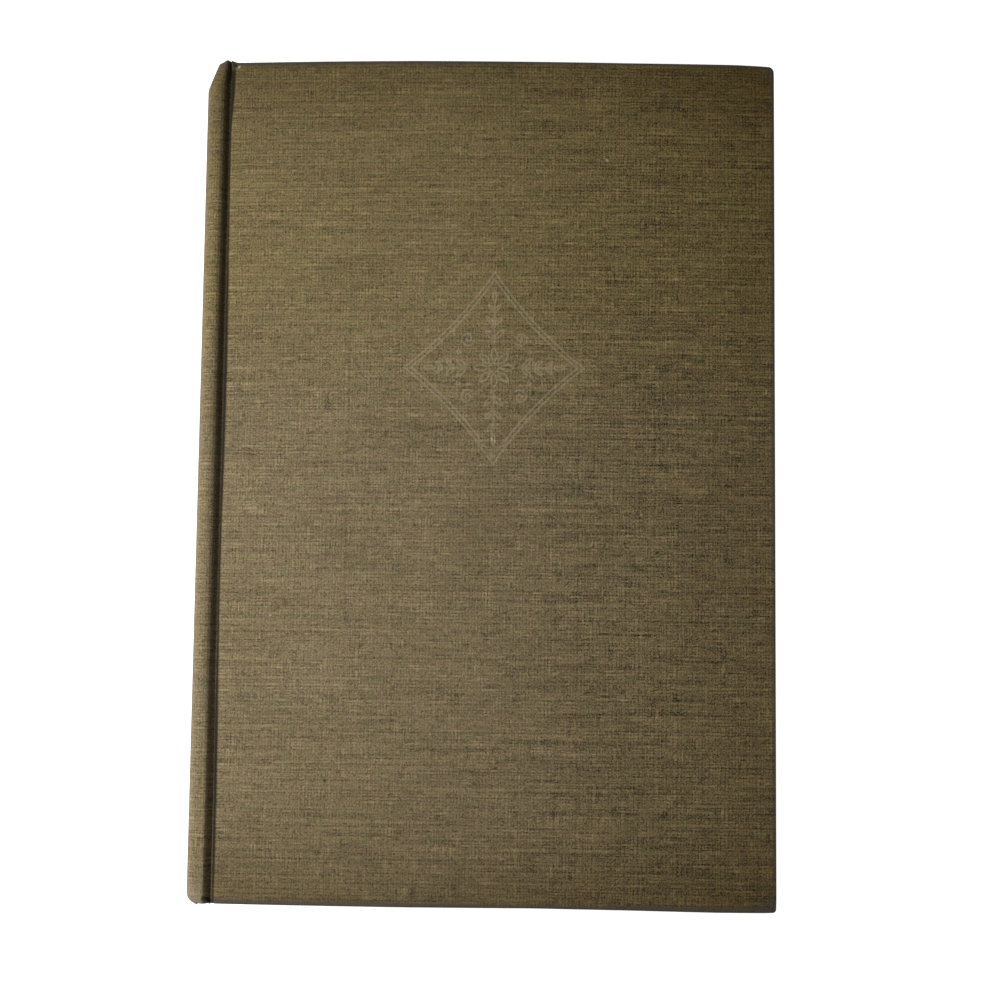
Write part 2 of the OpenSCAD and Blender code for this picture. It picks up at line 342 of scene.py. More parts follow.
def paint_margin(sheet, low, high):
    """Toning, from 1 at the edges of a leaf to 0 inside its margin, and weak along the joint."""
    x, y, _ = mesh_points(sheet).T
    gap = np.minimum(np.minimum(high.x - x, high.y - np.abs(y)), x - low.x + margin_past)
    paint(sheet, "margin", np.clip(1 - gap / margin_w, 0, 1) ** 1.6)


def build_flyleaf(name, node, up):
    low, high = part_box(node)
    xs = np.linspace(low.x, high.x - leaf_inset, endpaper_columns)
    ys = np.linspace(low.y + leaf_inset, high.y - leaf_inset, endpaper_rows)
    x, y = np.meshgrid(xs, ys, indexing="ij")
    share = (x - xs[0]) / (xs[-1] - xs[0])
    face = np.full(x.shape, low.z)
    if up > 0:
        face = high.z + paper_wave * np.sin(math.pi * share) ** 2 * (1 + np.sin(52 * y + 4 * share))
    points = np.stack([x, y, face], -1).reshape(-1, 3)
    faces = grid_faces(np.arange(len(points)).reshape(x.shape))
    if up < 0:
        faces = faces[:, ::-1]
    sheet = make_piece(name, points, faces, old_endpaper)
    thicken(sheet, high.z - low.z - paper_ease)
    paint_margin(sheet, low, high)
    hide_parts(node)
    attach(sheet, "book_block")


old_endpaper = endpaper_finish()
build_flyleaf("front_free_endpaper", "front_flyleaf", 1)
build_flyleaf("back_free_endpaper", "back_flyleaf", -1)


# The head and tail bands. A cord core wound with silk in two colours, sewn along a narrow ribbon
# that is glued to the ends of the block's spine. The wound bead stands just past the leaves.
band_angle = math.asin(crest_z / block_spine_r) - math.radians(4)
bead_r = 0.62 * mm
bead_path_r = block_spine_r - 0.6 * mm
silk_r = 0.11 * mm
silk_pitch = 0.235 * mm
ribbon_inner_r = block_spine_r + 0.02 * mm
ribbon_outer_r = block_spine_r + 0.28 * mm
ribbon_w = 8 * mm
ribbon_past = 0.5 * mm
ribbon_steps = 32

silk_cream = (0.62, 0.50, 0.30, 1)
silk_red = (0.24, 0.10, 0.05, 1)
silk_dust = (0.30, 0.24, 0.17, 1)


def silk_finish():
    silk = Finish("two_colour_silk")
    turn = silk.painted("turn")
    stripe = silk.math("GREATER_THAN", silk.math("FRACT", silk.math("MULTIPLY", turn, 0.125)), 0.5)
    dust = silk.noise(silk.place(), 0.8 * mm, 2.0)
    tone = silk.blend(stripe, silk_cream, silk_red)
    tone = silk.blend(silk.between(dust, 0.4, 0.8, 0.0, 0.4), tone, silk_dust)
    return silk.coat(tone, 0.45, specular=0.5)


def band_tree(material):
    """Winds rings of silk along an arc: the bead of one band."""
    tree = bpy.data.node_groups.new("wound_bead", "GeometryNodeTree")
    face = tree.interface
    for name, value in (("Arc radius", bead_path_r), ("Half angle", band_angle), ("Bead radius", bead_r),
                        ("Silk radius", silk_r), ("Pitch", silk_pitch)):
        face.new_socket(name, in_out="INPUT", socket_type="NodeSocketFloat").default_value = value
    face.new_socket("Geometry", in_out="OUTPUT", socket_type="NodeSocketGeometry")
    given = tree.nodes.new("NodeGroupInput")

    def add(kind, inputs=None, **settings):
        made = tree.nodes.new(kind)
        for key, value in settings.items():
            setattr(made, key, value)
        for key, value in (inputs or {}).items():
            if isinstance(value, bpy.types.NodeSocket):
                tree.links.new(value, made.inputs[key])
            else:
                made.inputs[key].default_value = value
        return made

    def calculate(operation, a, b):
        return add("ShaderNodeMath", {0: a, 1: b}, operation=operation).outputs[0]

    def circle(points, radius):
        return add("GeometryNodeCurvePrimitiveCircle", {"Resolution": points, "Radius": radius}).outputs[0]

    start = calculate("SUBTRACT", math.pi, given.outputs["Half angle"])
    sweep = calculate("MULTIPLY", given.outputs["Half angle"], 2.0)
    arc = add("GeometryNodeCurveArc", {"Resolution": 64, "Radius": given.outputs["Arc radius"],
                                       "Start Angle": start, "Sweep Angle": sweep})
    rings = add("GeometryNodeResampleCurve", {"Curve": arc.outputs[0], "Length": given.outputs["Pitch"]},
                mode="LENGTH")
    hoop = circle(14, given.outputs["Bead radius"])
    strand = circle(6, given.outputs["Silk radius"])
    ring = add("GeometryNodeCurveToMesh", {"Curve": hoop, "Profile Curve": strand})
    along = add("GeometryNodeInputTangent")
    turned = add("FunctionNodeAlignRotationToVector", {"Vector": along.outputs[0]}, axis="Z")
    number = add("GeometryNodeInputIndex")
    wound = add("GeometryNodeInstanceOnPoints", {"Points": rings.outputs[0], "Instance": ring.outputs[0],
                                                 "Rotation": turned.outputs[0]})
    counted = add("GeometryNodeStoreNamedAttribute", {"Geometry": wound.outputs[0], "Name": "turn",
                                                      "Value": number.outputs[0]}, domain="INSTANCE")
    core_profile = circle(10, given.outputs["Bead radius"])
    core = add("GeometryNodeCurveToMesh", {"Curve": rings.outputs[0], "Profile Curve": core_profile,
                                           "Fill Caps": True})
    real = add("GeometryNodeRealizeInstances", {"Geometry": counted.outputs[0]})
    both = add("GeometryNodeJoinGeometry")
    tree.links.new(core.outputs[0], both.inputs[0])
    tree.links.new(real.outputs[0], both.inputs[0])
    painted = add("GeometryNodeSetMaterial", {"Geometry": both.outputs[0], "Material": material})
    smooth = add("GeometryNodeSetShadeSmooth", {"Geometry": painted.outputs[0]})
    result = tree.nodes.new("NodeGroupOutput")
    tree.links.new(smooth.outputs[0], result.inputs[0])
    return tree


def build_band(name, node, end, tree):
    """The bead is laid out as a flat arc, stood up, and set on the end of the block's spine. Its ribbon
    is added to the same mesh."""
    holder = make_piece(name, [(0, 0, 0)], [], two_colour_silk)
    wind = holder.modifiers.new("wound", "NODES")
    wind.node_group = tree
    graph = bpy.context.evaluated_depsgraph_get()
    mesh = bpy.data.meshes.new_from_object(holder.evaluated_get(graph))
    holder.modifiers.clear()
    holder.data = mesh
    at = mesh_points(holder)
    stood = np.stack([at[:, 0] + round_x, end * (half_block + bead_r) + at[:, 2], middle_z + at[:, 1]], -1)
    mesh.vertices.foreach_set("co", stood.ravel())
    ribbon = bmesh.new()
    ribbon.from_mesh(mesh)
    columns = []
    for step in range(ribbon_steps + 1):
        angle = math.pi - band_angle + 2 * band_angle * step / ribbon_steps
        for radius in (ribbon_inner_r, ribbon_outer_r):
            for y in (end * (half_block - ribbon_w), end * (half_block + ribbon_past)):
                columns.append(ribbon.verts.new((round_x + radius * math.cos(angle), y,
                                                 middle_z + radius * math.sin(angle))))
    for step in range(ribbon_steps):
        a, b = columns[4 * step:4 * step + 4], columns[4 * step + 4:4 * step + 8]
        for i, j in ((0, 1), (1, 3), (3, 2), (2, 0)):
            ribbon.faces.new((a[i], a[j], b[j], b[i]))
    for a in (columns[:4], columns[-4:]):
        ribbon.faces.new((a[0], a[1], a[3], a[2]))
    bmesh.ops.recalc_face_normals(ribbon, faces=ribbon.faces)
    ribbon.to_mesh(mesh)
    ribbon.free()
    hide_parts(node)
    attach(holder, "book_block")


two_colour_silk = silk_finish()
wound_bead = band_tree(two_colour_silk)
build_band("head_band_bead", "head_band", 1, wound_bead)
build_band("tail_band_bead", "tail_band", -1, wound_bead)


# The mull and the lining. Open gauze glued over the sewn spine, and a strip of kraft paper glued
# over the gauze and the bands. The hollow of the spine is all that shows them.
gauze_pitch = 1.1 * mm
gauze_glue = (0.36, 0.24, 0.11, 1)
gauze_thread = (0.66, 0.58, 0.42, 1)
kraft_dark = (0.30, 0.19, 0.09, 1)
kraft_light = (0.44, 0.31, 0.16, 1)
kraft_glue = (0.22, 0.13, 0.06, 1)


def mull_finish():
    gauze = Finish("glued_gauze")
    place = gauze.place((0, 1, 1))
    threads = [gauze.math("SINE", gauze.math("MULTIPLY", axis, 2 * math.pi / gauze_pitch))
               for axis in gauze.add("ShaderNodeSeparateXYZ", {0: place}).outputs[1:]]
    weave = gauze.math("MAXIMUM", *threads)
    tone = gauze.blend(gauze.between(weave, 0.2, 0.8), gauze_glue, gauze_thread)
    return gauze.coat(tone, 0.8, gauze.bump(weave, 0.12 * mm))


def kraft_finish():
    kraft = Finish("kraft_lining")
    fibres = kraft.noise(kraft.place((1, 0.3, 1)), 0.6 * mm, 4.0, 0.7)
    glue = kraft.noise(kraft.place(), 9 * mm, 3.0)
    tone = kraft.blend(kraft.between(fibres, 0.3, 0.7), kraft_dark, kraft_light)
    tone = kraft.blend(kraft.between(glue, 0.5, 0.7, 0.0, 0.5), tone, kraft_glue)
    return kraft.coat(tone, 0.75, kraft.bump(fibres, 0.05 * mm))


def refinish(node, material):
    """Gives a CAD node its finish."""
    mesh = nodes[node].data
    mesh.materials.clear()
    mesh.materials.append(material)


refinish("spine_mull", mull_finish())
refinish("spine_lining", kraft_finish())


# The boards. Grey millboard cut square, with the cloth glued over the outside and round three edges,
# and the endpapers pasted to the inside.
board_dark = (0.24, 0.20, 0.15, 1)
board_light = (0.40, 0.35, 0.27, 1)
board_ply = (0.18, 0.15, 0.11, 1)


def board_finish():
    board = Finish("grey_millboard")
    pulp = board.noise(board.place(), 0.7 * mm, 4.0, 0.75)
    plies = board.noise(board.place((1, 1, 24)), 9 * mm, 2.0)
    tone = board.blend(board.between(pulp, 0.3, 0.7), board_dark, board_light)
    tone = board.blend(board.between(plies, 0.45, 0.6, 0.0, 0.35), tone, board_ply)
    return board.coat(tone, 0.9, board.bump(pulp, 0.05 * mm))


millboard = board_finish()
for part in ("front_board", "back_board"):
    refinish(part, millboard)


# The cover cloth. One piece of olive-brown book cloth glued over both boards and the spine, creased
# into the two joints, folded round the edges and turned in behind them with mitred corners. It is
# made here in two lengths, which meet on the crest behind the back joint.
cover_low, cover_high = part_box("front_cloth")
back_low, back_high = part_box("back_cloth")
case_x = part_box("spine_cloth")[0].x
board_x = cover_low.x
cover_w = cover_high.x - board_x
half_h = cover_high.y
cloth_t = 0.4 * mm
strip_t = 1 * mm
skin_t = 0.36 * mm
turn_in_w = 15 * mm
face_z = middle_z - back_low.z
inside_z = face_z - (back_high.z - back_low.z)
board_t = face_z - inside_z
front_warp = cover_high.z - middle_z - face_z
case_r = round_x - case_x
crest_r = 2.6 * mm
crest_drop = 0.1 * mm
groove_low = face_z - 2.45 * mm
joint_t = 2 * cloth_t
spine_t = 2 * cloth_t + strip_t
strip_ease = math.radians(1.6)
rim_r = 0.75 * mm
rim_w = 1.4 * mm
fold_r = 0.55 * mm
hem_w = 3 * mm
mitre_r = 0.35 * mm
mitre_depth = 0.25 * mm
head_corner_r = 1.8 * mm
tail_corner_r = 1.1 * mm
corner_steps = 6
crest_steps = 6
spine_columns = 25
groove_steps = 9
rim_steps = 7
wall_rows = 4
board_columns = 98
near_board = np.array([0, 0.4, 0.9, 1.6]) * mm
turn_in_flat = 0.3 * mm
hem_face = (1, 0.72, 0.48, 0.3)
hem_edge = (0.33, 0.67)
hem_behind = np.array([1.1, 1.9, 3, 6, 10, 14]) * mm

roll_z = face_z - crest_drop - crest_r
roll_reach = case_r - crest_r
roll_angle = math.asin(roll_z / roll_reach)
roll_x = round_x - roll_reach * math.cos(roll_angle)
groove_rise = groove_low - roll_z
roll_run = roll_x - board_x
groove_sum = crest_r - roll_run - groove_rise
groove_r = groove_sum - math.sqrt(groove_sum ** 2 - roll_run ** 2 - groove_rise ** 2 + crest_r ** 2)
groove_z = groove_low + groove_r
groove_x = board_x - groove_r
groove_angle = math.atan2(groove_z - roll_z, groove_x - roll_x)


def warp_at(x, warp):
    """Height of the arch of a warped board at x, nothing on a flat one."""
    if warp <= 0:
        return np.zeros_like(x)
    radius = (cover_w ** 2 / 4 + warp ** 2) / (2 * warp)
    from_middle = np.clip(x - board_x - cover_w / 2, -cover_w / 2, cover_w / 2)
    return np.sqrt(radius ** 2 - from_middle ** 2) - (radius - warp)


def arc_points(x, z, radius, start, end, steps):
    angles = np.linspace(start, end, steps + 1)
    return np.stack([x + radius * np.cos(angles), z + radius * np.sin(angles)], -1)


def cloth_section(with_spine, warp):
    """The outer line of the cloth in section, as (x, z) from the middle of the block, and the line of
    the cloth turned in behind it, station by station, up to the hem along the fore-edge."""
    right = math.pi
    outer, inner = [], []

    def lay(line, under):
        outer.extend(line[1:] if outer else line)
        inner.extend(under[1:] if inner else under)

    if with_spine:
        lay(*(arc_points(roll_x, -roll_z, radius, -right / 2, -right + roll_angle, crest_steps)
              for radius in (crest_r, crest_r - joint_t)))
        angles = np.linspace(-roll_angle, roll_angle, spine_columns)
        ease = np.clip((roll_angle - np.abs(angles)) / strip_ease, 0, 1)
        inner_r = case_r - joint_t - (spine_t - joint_t) * ease
        lay(*(np.stack([round_x - radius * np.cos(angles), radius * np.sin(angles)], -1)
              for radius in (case_r, inner_r)))
        roll_start = right - roll_angle
    else:
        roll_start = right / 2
    roll_steps = 14 if with_spine else 8
    lay(*(arc_points(roll_x, roll_z, radius, roll_start, groove_angle, roll_steps)
          for radius in (crest_r, crest_r - joint_t)))
    groove, under = (arc_points(groove_x, groove_z, radius, right + groove_angle, 2 * right, groove_steps)
                     for radius in (groove_r, groove_r + joint_t))
    lowest = np.argmin(under[:, 1])
    rest = np.linspace(0, 1, len(under) - lowest)[:, None]
    last = np.array([groove_x + turn_in_flat, under[lowest][1]])
    under[lowest:] = under[lowest] * (1 - rest) + last * rest
    lay(groove, under)
    wall = np.stack([np.full(wall_rows, board_x), np.linspace(groove_z, face_z - rim_r, wall_rows)], -1)
    rim = arc_points(board_x + rim_r, face_z - rim_r, rim_r, right, right / 2, rim_steps)
    rim[:, 0] = board_x + (rim[:, 0] - board_x) * rim_w / rim_r
    rise = np.concatenate([wall, rim[1:]])
    share = np.linspace(0, 1, len(rise))[:, None]
    first = board_x + rim_w
    end = np.array([first, inside_z])
    lay(rise, last * (1 - share) + end * share)
    stop = board_x + cover_w - hem_w
    near = first + near_board
    xs = np.concatenate([near[:-1], np.linspace(near[-1], stop, board_columns)])
    arch = warp_at(xs, warp)
    lay(np.stack([xs, face_z + arch], -1), np.stack([xs, inside_z + arch], -1))
    return np.array(outer), np.array(inner)


def hem_profile(thickness):
    """From the face of the cloth, round its folded edge, to the end of the turn-in behind it:
    distance in from the edge, depth below the face, and distance along the cloth."""
    radius = min(fold_r, thickness / 2)
    face = [(hem_w * share, 0.0) for share in hem_face]
    turn = [(radius * (1 - math.sin(angle)), radius * (1 - math.cos(angle)))
            for angle in np.linspace(0, math.pi / 2, 4)]
    edge = [(0.0, radius + (thickness - 2 * radius) * share) for share in hem_edge]
    back = [(inset, thickness - depth) for inset, depth in reversed(turn)]
    behind = [(inset, thickness) for inset in (*hem_behind, turn_in_w)]
    steps = np.array(face + turn + edge + back + behind)
    length = np.concatenate([[0], np.cumsum(np.hypot(*np.diff(steps, axis=0).T))])
    return steps[:, 0], steps[:, 1], length - length[0] - hem_w


def build_cloth(name, with_spine, warp, up, ys):
    """One length of the cover cloth, as the face, then the hem round its three folded edges."""
    outer, inner = cloth_section(with_spine, warp)
    columns, rows = len(outer), len(ys)
    steps = np.hypot(*np.diff(outer, axis=0).T)
    run = np.concatenate([[0], np.cumsum(steps)])
    fore_u = run[-1] + hem_w
    face = np.array([[(x, y, z) for y in ys] for x, z in outer])
    flat = [[(u, y) for y in ys] for u in run]
    points = list(face.reshape(-1, 3))
    flats = [tuple(p) for row in flat for p in row]
    index = np.arange(columns * rows).reshape(columns, rows)
    faces = [tuple(f) for f in grid_faces(index)]

    board_hem = list(zip(*hem_profile(board_t)))
    fore_edge = board_x + cover_w

    def on_board(x, depth):
        return face_z - depth + float(warp_at(np.array(x), warp))

    def end_hem(side):
        """The hem along the head (side 1) or the tail (side -1): one line of points to a station."""
        hem = []
        for (x, z), (under_x, under_z), u in zip(outer, inner, run):
            thickness = math.hypot(under_x - x, under_z - z)
            line = []
            for inset, depth, along in zip(*hem_profile(thickness)):
                share = depth / thickness
                at_x, at_z = x + (under_x - x) * share, z + (under_z - z) * share
                if at_x > board_x and inset > hem_w:
                    at_x = board_x + (at_x - board_x) * (cover_w - inset - mitre_r) / (cover_w - hem_w)
                    at_z = on_board(at_x, depth)
                line.append(((at_x, side * (half_h - inset), at_z), (u, side * (half_h + along))))
            hem.append(line)
        return hem

    def corner_hem(side):
        """The hem round a corner of the board, from the end to the fore-edge."""
        corner_r = head_corner_r if side > 0 else tail_corner_r
        hem = []
        for step in range(corner_steps + 1):
            turn = math.pi / 2 * (1 - step / corner_steps)
            line = []
            for number, (inset, depth, along) in enumerate(board_hem):
                radius = max(corner_r - inset, mitre_r)
                middle = max(corner_r, inset + mitre_r)
                if number == 0:
                    radius, middle = 0, hem_w
                at_x = fore_edge - middle + radius * math.cos(turn)
                at_y = half_h - middle + radius * math.sin(turn)
                on_mitre = step == corner_steps // 2 and inset > corner_r and depth > board_t / 2
                spot = (at_x, side * at_y, on_board(at_x, depth - mitre_depth * on_mitre))
                reach = along + hem_w
                flat_x = fore_u - hem_w + reach * math.cos(turn)
                flat_y = half_h - hem_w + reach * math.sin(turn)
                line.append((spot, (flat_x, side * flat_y)))
            hem.append(line)
        return hem

    def fore_hem():
        """The hem along the fore-edge, from the head to the tail."""
        hem = []
        for y in ys[::-1]:
            line = []
            for inset, depth, along in board_hem:
                squeeze = (half_h - inset - mitre_r) / (half_h - hem_w) if inset > hem_w else 1
                at_x = fore_edge - inset
                line.append(((at_x, y * squeeze, on_board(at_x, depth)), (fore_u + along, y)))
            hem.append(line)
        return hem

    head, tail = end_hem(1), end_hem(-1)
    edge = head + corner_hem(1)[1:-1] + fore_hem() + corner_hem(-1)[::-1][1:-1] + tail[::-1]
    borders = list(index[:, -1]) + [index[-1, -1]] * (corner_steps - 1) + list(index[-1, ::-1])
    borders += [index[-1, 0]] * (corner_steps - 1) + list(index[::-1, 0])
    numbers = np.empty((len(edge), len(board_hem)), int)
    for i, line in enumerate(edge):
        numbers[i, 0] = borders[i]
        for j, (spot, way) in enumerate(line[1:], 1):
            numbers[i, j] = len(points)
            points.append(spot)
            flats.append(way)
    for quad in grid_faces(numbers):
        corners = list(dict.fromkeys(int(c) for c in quad))
        if len(corners) > 2:
            faces.append(tuple(corners))
    at = np.array(points)
    at[:, 2] = middle_z + up * at[:, 2]
    if up < 0:
        faces = [f[::-1] for f in faces]
    return make_piece(name, at, faces, olive_cloth, flats)


def ramp(value, start, run):
    """0 up to the start, rising evenly to 1 over the run. Over a negative run it rises backwards."""
    return np.clip((value - start) / run, 0, 1)


def smooth_ramp(value, start, run):
    share = ramp(value, start, run)
    return share * share * (3 - 2 * share)


def hump(gap, width):
    """1 at no gap, falling away on both sides like a bell."""
    return np.exp(-(gap / width) ** 2)


# The knock at the head of the spine, which pushed its cap in and flattened it, less so below than
# above, and the rounding of the tail of the spine, which years on a shelf have worn.
knock_y = 111.3 * mm
knock_in = 3.0 * mm
knock_flat = 0.5 * mm
knock_left = 0.45
tail_round = 2.2 * mm
upper_run = 9 * mm


def knocked(at):
    """Where the points of the spine went when its head was knocked in and its tail was rounded off."""
    x, y, z = at.T
    across = ramp(x, groove_x, case_x - groove_x) ** 0.5
    up = knock_left + (1 - knock_left) * smooth_ramp(z - middle_z, 0, upper_run)
    share = ramp(y, knock_y, half_h - knock_y)
    past = ramp(y, tail_round - half_h, -tail_round)
    moved = at.copy()
    moved[:, 0] += across * (knock_in * share * up + tail_round * (1 - np.sqrt(1 - past ** 2)))
    moved[:, 2] -= across * knock_flat * share ** 2 * np.sign(z - middle_z)
    return moved


def move_points(piece, at):
    piece.data.vertices.foreach_set("co", at.ravel())
    piece.data.update()


def spot_tree(spots):
    """The spots, seen from above, sorted so that the nearest to a place is found quickly."""
    tree = KDTree(len(spots))
    for number, (x, y) in enumerate(spots):
        tree.insert((x, y, 0), number)
    tree.balance()
    return tree


def refine(piece, spots, reach, rounds, lowest):
    """Halves the faces of the upper side that lie near the spots, several times over, so that fine
    relief there has points to stand on."""
    tree = spot_tree(spots)
    sheet = bmesh.new()
    sheet.from_mesh(piece.data)
    for _ in range(rounds):
        cut = set()
        for face in sheet.faces:
            middle = face.calc_center_median()
            if face.normal.z < 0.2 or middle.z < lowest:
                continue
            size = max(edge.calc_length() for edge in face.edges)
            if tree.find((middle.x, middle.y, 0))[2] < reach + 0.6 * size:
                cut.update(face.edges)
        bmesh.ops.subdivide_edges(sheet, edges=list(cut), cuts=1, use_grid_fill=True)
    sheet.to_mesh(piece.data)
    sheet.free()


def swell(at, middle, radius, height):
    """Height of a rounded lump at each point, with its own radius along x and along y."""
    off = (at[:, :2] - np.array(middle)) / np.array(radius)
    return height * np.exp(-(off ** 2).sum(-1))


def gap_to_line(at, start, end):
    """Distance of each point, seen from above, from a straight line between two places."""
    start, end = np.array(start), np.array(end)
    way = end - start
    share = np.clip((at[:, :2] - start) @ way / (way @ way), 0, 1)
    return np.hypot(*(at[:, :2] - start - share[:, None] * way).T)


# The wear of the front cover, placed from the middle of the book: glue bubble, dent, fold and creases near
# the tail, a bruised corner, the droop of the head's corner, the skew of the tail's, the caps of the spine
# pulled out past the boards, and cloth that bridges the groove at the head and is fuller along its flank.
bubble = (-42.4 * mm, -109.2 * mm)
bubble_r = (1.0 * mm, 1.6 * mm)
bubble_h = 0.42 * mm
bump = (-18.5 * mm, -113.3 * mm)
bump_r = (1.4 * mm, 2.2 * mm)
bump_h = 0.8 * mm
joint_fold = ((-74.6 * mm, -116.2 * mm), (-71.6 * mm, -117.9 * mm))
fold_depth = 1.1 * mm
crease_y = -107.4 * mm
crease_w = 1.7 * mm
crease_pitch = 0.8 * mm
crease_h = 0.07 * mm
crease_bend = 0.25 * mm
crease_ripple = 1.3 * mm
fold_w = 0.55 * mm
bruised_corner = (board_x + cover_w, -half_h)
bruise_r = 2.6 * mm
bruise_depth = 0.5 * mm
end_start = 90 * mm
end_zone = 27 * mm
head_droop = 0.33 * mm
tail_skew = 0.8 * mm
end_pull = 0.4 * mm
cap_pull = 0.6 * mm
cap_w = 1.6 * mm
cap_x = case_x + 3.5 * mm
bridge_w = 1.3 * mm
bridge_h = 1.5 * mm
flank_x = groove_x - 1.2 * mm
flank_w = 1.1 * mm
flank_h = 0.8 * mm
flank_start = -50 * mm
flank_run = -45 * mm


def worn(at):
    """The shape that the front cover and the spine have taken."""
    moved = at.copy()
    x, y, z = at.T
    upper = ramp(z - middle_z, inside_z, board_t)
    high = ramp(z - middle_z, 0, upper_run)
    fold = ramp(gap_to_line(at, *joint_fold), fold_w, -fold_w)
    near_spine = ramp(x, board_x + 2.5 * mm, -2 * mm)
    crossing = hump(y - crease_y, crease_w) * near_spine * high
    wave = np.cos(2 * math.pi * (y - crease_y + crease_bend * np.sin(x / crease_ripple)) / crease_pitch)
    off_corner = np.hypot(x - bruised_corner[0], y - bruised_corner[1])
    moved[:, 2] += swell(at, bubble, bubble_r, bubble_h) * upper
    moved[:, 2] += swell(at, bump, bump_r, bump_h) * upper
    moved[:, 2] += crease_h * wave * crossing
    moved[:, 2] -= fold_depth * fold ** 1.5 * high
    moved[:, 2] -= bruise_depth * hump(off_corner, bruise_r) * upper
    bridge = hump(x - groove_x, bridge_w) * ramp(y, half_h - 1.8 * mm, 1.4 * mm)
    flank = hump(x - flank_x, flank_w) * ramp(y, flank_start, flank_run)
    moved[:, 2] += (bridge_h * bridge + flank_h * flank) * high
    to_end = ramp(np.abs(y), end_start, end_zone) * np.sign(y)
    head_corner = np.maximum(to_end, 0) * ramp(x, bruised_corner[0] - 12 * mm, 10 * mm)
    tail_corner = np.maximum(-to_end, 0) * ramp(x, 15 * mm, 50 * mm)
    moved[:, 1] -= (head_droop * head_corner ** 1.5 + tail_skew * tail_corner) * (z > middle_z)
    moved[:, 1] += end_pull * to_end * ramp(x, 40 * mm, -60 * mm) * high
    at_caps = hump(x - groove_x, cap_w) + hump(x - cap_x, cap_w)
    moved[:, 1] += cap_pull * at_caps * ramp(y, half_h - 5 * mm, 5 * mm) * high
    return moved


# The blind stamping on the front: a hollow-sided lozenge of two rules round an eight-petalled
# rosette, with a leafy spray towards each point of the lozenge and a scroll in each of its corners.
stamp_middle = (3.0 * mm, 30 * mm)
lozenge_w = 25 * mm
lozenge_h = 27 * mm
line_step = 0.12 * mm
line_depth = 0.10 * mm
line_half = 0.21 * mm
line_reach = 0.34 * mm
line_fade = 0.2 * mm
side_curve = 0.42
inner_rule = 0.93
rosette_r = 5.6 * mm
rosette_eye_r = 1.3 * mm
petal_foot = 1.7 * mm
petal_belly = 0.42
spray_start = 6.6 * mm
spray_across = 16.5 * mm
spray_upright = 18.5 * mm
leaf_sizes = (3.4 * mm, 2.9 * mm, 2.3 * mm)
scroll_place = np.array([7.4, 8.2]) * mm
scroll_r = 2.1 * mm
scroll_turns = 1.4
dot_place = np.array([9.9, 4.4]) * mm
dot_r = 0.45 * mm


def bent_line(start, control, end):
    """Points along a line that bends towards its control point."""
    start, control, end = np.array(start), np.array(control), np.array(end)
    length = np.linalg.norm(control - start) + np.linalg.norm(end - control)
    t = np.linspace(0, 1, max(2, int(length / line_step)))[:, None]
    return (1 - t) ** 2 * start + 2 * t * (1 - t) * control + t ** 2 * end


def leaf_outline(foot, tip, belly):
    """Two bent lines from the foot of a leaf to its tip."""
    foot, tip = np.array(foot), np.array(tip)
    across = np.array([-(tip - foot)[1], (tip - foot)[0]]) * belly
    middle = (foot + tip) / 2
    return [bent_line(foot, middle + across, tip), bent_line(foot, middle - across, tip)]


def ring_line(middle, radius):
    turn = np.linspace(0, 2 * math.pi, int(2 * math.pi * radius / line_step))
    return np.array(middle) + radius * np.stack([np.cos(turn), np.sin(turn)], -1)


def scroll_line(middle, radius, start, turns):
    """A spiral that closes in on its middle."""
    share = np.linspace(0, 1, int(2 * radius * abs(turns) * math.pi / line_step))
    turn = start + 2 * math.pi * turns * share
    reach = radius * (1 - 0.85 * share)
    return np.array(middle) + reach[:, None] * np.stack([np.cos(turn), np.sin(turn)], -1)


def lozenge_lines(scale):
    across, upright = np.array([lozenge_w, 0]) * scale, np.array([0, lozenge_h]) * scale
    corners = [across, upright, -across, -upright]
    return [bent_line(a, (a + b) * side_curve, b) for a, b in zip(corners, corners[1:] + corners[:1])]


def rosette_lines():
    lines = [ring_line((0, 0), rosette_eye_r)]
    for petal in range(8):
        turn = petal * math.pi / 4
        way = np.array([math.cos(turn), math.sin(turn)])
        lines += leaf_outline(petal_foot * way, rosette_r * way, petal_belly)
    return lines


def spray_lines(way, length):
    """A stem with three pairs of leaves and one at its tip, pointing along way."""
    way = np.array(way)
    side = np.array([-way[1], way[0]])
    lines = [bent_line(spray_start * way, (spray_start + length) / 2 * way, length * way)]
    lines += leaf_outline(length * way, (length + 3.2 * mm) * way, 0.3)
    for pair, size in enumerate(leaf_sizes):
        foot = (spray_start + (pair + 0.35) * (length - spray_start) / len(leaf_sizes)) * way
        for hand in (-1, 1):
            tip = foot + size * (0.8 * way + 0.75 * hand * side)
            lines += leaf_outline(foot, tip, 0.28)
    return lines


def stamped_points():
    lines = lozenge_lines(1) + lozenge_lines(inner_rule) + rosette_lines()
    for hand in (1, -1):
        lines += spray_lines((hand, 0), spray_across) + spray_lines((0, hand), spray_upright)
    for x, y in ((1, 1), (-1, 1), (-1, -1), (1, -1)):
        side = np.array([x, y])
        start = math.atan2(-y, -x)
        lines.append(scroll_line(scroll_place * side, scroll_r, start, scroll_turns * x * y))
        lines.append(ring_line(dot_place * side, dot_r))
    return np.concatenate(lines) + np.array(stamp_middle)


